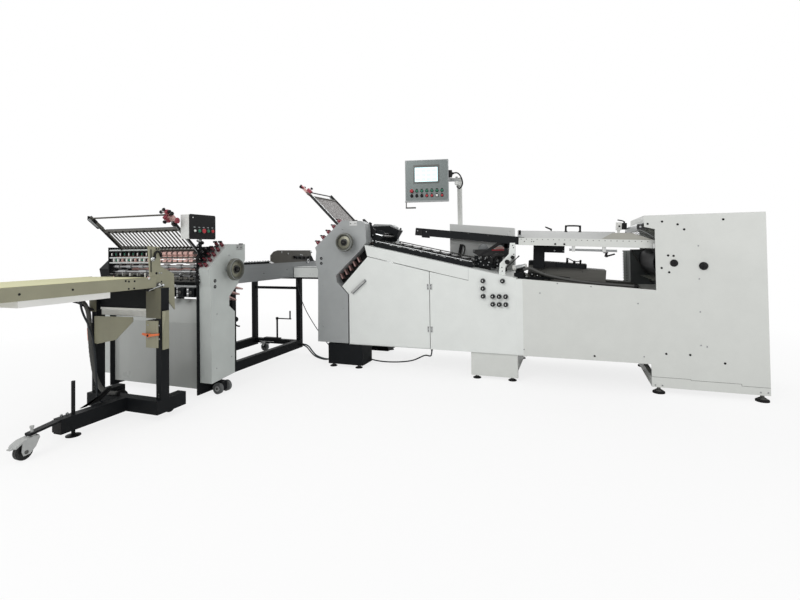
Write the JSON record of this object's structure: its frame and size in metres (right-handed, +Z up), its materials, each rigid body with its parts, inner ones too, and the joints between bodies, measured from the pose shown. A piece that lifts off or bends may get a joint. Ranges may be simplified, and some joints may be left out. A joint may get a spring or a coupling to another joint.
{
  "type": "paper folding machine",
  "caption": "Floor-standing cross-fold buckle folding line: feeder with turning drum, register table, folding units at right angles, transfer table, control panel and wheeled delivery.",
  "frame": {"origin": "centre of the bounding box's bottom, on the floor", "axes": "+X from the second folding unit towards the feeder tower along the main line, +Y from the operator's side to the back, +Z up"},
  "size_m": [5.606, 4.05, 2.264],
  "materials": {
    "pale_paint": "satin powder coat",
    "grey_paint": "satin powder coat",
    "dark_paint": "matt powder coat",
    "olive_paint": "satin powder coat",
    "white_paint": "satin powder coat",
    "steel": "fine brushed",
    "chromed": "polished",
    "alloy": "satin anodised",
    "rubber": "matt",
    "black_plastic": "matt",
    "red_plastic": "semi-gloss",
    "orange_plastic": "semi-gloss",
    "belt_cloth": "coated weave",
    "tape_cloth": "woven tape",
    "brushed_panel": "vertical brushed",
    "cable_sheath": "matt"
  },
  "bodies": {
    "line": {"feeder_sides": "pale_paint", "tower_cover": "pale_paint", "base_pedestals": "pale_paint", "levelling_feet": "rubber", "feeder_chassis": "dark_paint", "drum_tapes": "tape_cloth", "upper_table": "alloy", "extension_rails": "dark_paint", "lower_table": "steel", "register_housing": "white_paint", "register_table": "alloy", "valve_knobs": "black_plastic", "gauge_bracket": "white_paint", "blower_box": "grey_paint", "unit1_covers": "grey_paint", "unit1_frames": "dark_paint", "unit1_pockets": "alloy", "unit1_pocket_knobs": "red_plastic", "unit2_covers": "grey_paint", "unit2_frames": "dark_paint", "unit2_pockets": "alloy", "unit2_pocket_knobs": "red_plastic", "unit1_base": "dark_paint", "infeed_hood": "dark_paint", "unit2_front_panel": "grey_paint", "button_panel": "dark_paint", "transfer_table": "alloy", "transfer_frame": "dark_paint", "junction_box": "white_paint", "delivery_frame": "olive_paint", "delivery_belt": "belt_cloth", "delivery_stand": "dark_paint", "panel_post": "grey_paint", "link_cable": "cable_sheath", "box_cable": "cable_sheath", "floor_cable": "cable_sheath", "delivery_cable": "cable_sheath"},
    "turning_drum": {"turning_drum": "steel"},
    "tape_roller": {"tape_roller": "steel"},
    "suction_wheel": {"suction_wheel": "alloy"},
    "register_door": {"register_door": "white_paint"},
    "air_knob_1": {"air_knob_1": "black_plastic"},
    "air_knob_2": {"air_knob_2": "black_plastic"},
    "air_knob_3": {"air_knob_3": "black_plastic"},
    "unit1_handwheel": {"unit1_handwheel": "alloy"},
    "unit1_fold_roller": {"unit1_fold_roller": "steel"},
    "unit2_handwheel": {"unit2_handwheel": "alloy"},
    "unit2_fold_roller": {"unit2_fold_roller": "steel"},
    "slitter_shaft": {"slitter_shaft": "steel"},
    "unit2_wheels": {"unit2_wheels": "rubber"},
    "transfer_crank": {"transfer_crank": "chromed"},
    "transfer_wheel": {"transfer_wheel": "rubber"},
    "delivery_roller": {"delivery_roller": "steel"},
    "stand_wheels": {"stand_wheels": "rubber"},
    "floor_jack": {"floor_jack": "chromed"},
    "clamp_lever": {"clamp_lever": "orange_plastic"},
    "castor_fork": {"castor_fork": "chromed"},
    "castor_wheel": {"castor_wheel": "rubber"},
    "control_panel": {"control_panel": "brushed_panel"},
    "emergency_stop": {"emergency_stop": "red_plastic"}
  },
  "joints": [
    {"name": "drum_spin", "type": "hinge", "parent": "line", "child": "turning_drum", "pos_m": [2.158, 1.475, 1.094], "axis": [0, 1, 0], "continuous": true},
    {"name": "tape_roller_spin", "type": "hinge", "parent": "line", "child": "tape_roller", "pos_m": [1.9142, 1.475, 1.40598], "axis": [0, 1, 0], "continuous": true},
    {"name": "suction_spin", "type": "hinge", "parent": "line", "child": "suction_wheel", "pos_m": [0.55188, 1.475, 1.14693], "axis": [0, 1, 0], "continuous": true},
    {"name": "door_hinge", "type": "hinge", "parent": "line", "child": "register_door", "pos_m": [0.033, 0.967, 0.6], "axis": [0, 0, 1], "range_deg": [0, 110]},
    {"name": "air_knob_1_turn", "type": "hinge", "parent": "line", "child": "air_knob_1", "pos_m": [0.563, 0.975, 0.93], "axis": [0, -1, 0], "range_deg": [-135, 135]},
    {"name": "air_knob_2_turn", "type": "hinge", "parent": "line", "child": "air_knob_2", "pos_m": [0.563, 0.975, 0.857], "axis": [0, -1, 0], "range_deg": [-135, 135]},
    {"name": "air_knob_3_turn", "type": "hinge", "parent": "line", "child": "air_knob_3", "pos_m": [0.563, 0.975, 0.784], "axis": [0, -1, 0], "range_deg": [-135, 135]},
    {"name": "unit1_handwheel_spin", "type": "hinge", "parent": "line", "child": "unit1_handwheel", "pos_m": [-0.857, 1.475, 1.319], "axis": [0, 1, 0], "continuous": true},
    {"name": "unit1_roller_spin", "type": "hinge", "parent": "line", "child": "unit1_fold_roller", "pos_m": [-0.917, 1.475, 1.389], "axis": [0, 1, 0], "continuous": true},
    {"name": "unit2_handwheel_spin", "type": "hinge", "parent": "line", "child": "unit2_handwheel", "pos_m": [-2.022, -0.075, 1.082], "axis": [-1, 0, 0], "continuous": true},
    {"name": "unit2_roller_spin", "type": "hinge", "parent": "line", "child": "unit2_fold_roller", "pos_m": [-2.022, -0.24, 1.205], "axis": [-1, 0, 0], "continuous": true},
    {"name": "slitter_spin", "type": "hinge", "parent": "line", "child": "slitter_shaft", "pos_m": [-2.022, -0.28, 1.116], "axis": [-1, 0, 0], "continuous": true},
    {"name": "unit2_wheels_roll", "type": "hinge", "parent": "line", "child": "unit2_wheels", "pos_m": [-1.562, -0.109, 0.047], "axis": [0, 1, 0], "continuous": true},
    {"name": "crank_turn", "type": "hinge", "parent": "line", "child": "transfer_crank", "pos_m": [-2.067, 1.4355, 0.4], "axis": [0, 0, 1], "continuous": true},
    {"name": "transfer_wheel_roll", "type": "hinge", "parent": "line", "child": "transfer_wheel", "pos_m": [-2.248, 1.4355, 0.048], "axis": [0, 1, 0], "continuous": true},
    {"name": "delivery_roller_spin", "type": "hinge", "parent": "line", "child": "delivery_roller", "pos_m": [-1.908, -1.993, 1.032], "axis": [1, 0, 0], "continuous": true},
    {"name": "stand_wheels_roll", "type": "hinge", "parent": "line", "child": "stand_wheels", "pos_m": [-1.873, -0.643, 0.06], "axis": [1, 0, 0], "continuous": true},
    {"name": "jack_lift", "type": "slide", "parent": "line", "child": "floor_jack", "axis": [0, 0, 1], "range_m": [0, 0.03]},
    {"name": "clamp_turn", "type": "hinge", "parent": "line", "child": "clamp_lever", "pos_m": [-1.613, -0.818, 0.625], "axis": [0, -1, 0], "range_deg": [-40, 50]},
    {"name": "castor_swivel", "type": "hinge", "parent": "line", "child": "castor_fork", "pos_m": [-1.787, -1.522, 0.14], "axis": [0, 0, 1], "continuous": true},
    {"name": "castor_roll", "type": "hinge", "parent": "castor_fork", "child": "castor_wheel", "pos_m": [-1.787, -1.572, 0.05], "axis": [1, 0, 0], "continuous": true},
    {"name": "panel_swivel", "type": "hinge", "parent": "line", "child": "control_panel", "pos_m": [0.119, 1.855, 2.03], "axis": [0, 0, 1], "range_deg": [-50, 60]},
    {"name": "stop_press", "type": "slide", "parent": "control_panel", "child": "emergency_stop", "axis": [-0.2079, 0.9781, 0], "range_m": [0, 0.005], "stiffness_N_per_m": 800}
  ],
  "couplings": [
    {"joint": "unit1_roller_spin", "follows": "unit1_handwheel_spin", "ratio": -1},
    {"joint": "unit2_roller_spin", "follows": "unit2_handwheel_spin", "ratio": -1},
    {"joint": "slitter_spin", "follows": "unit2_handwheel_spin", "ratio": 1}
  ]
}
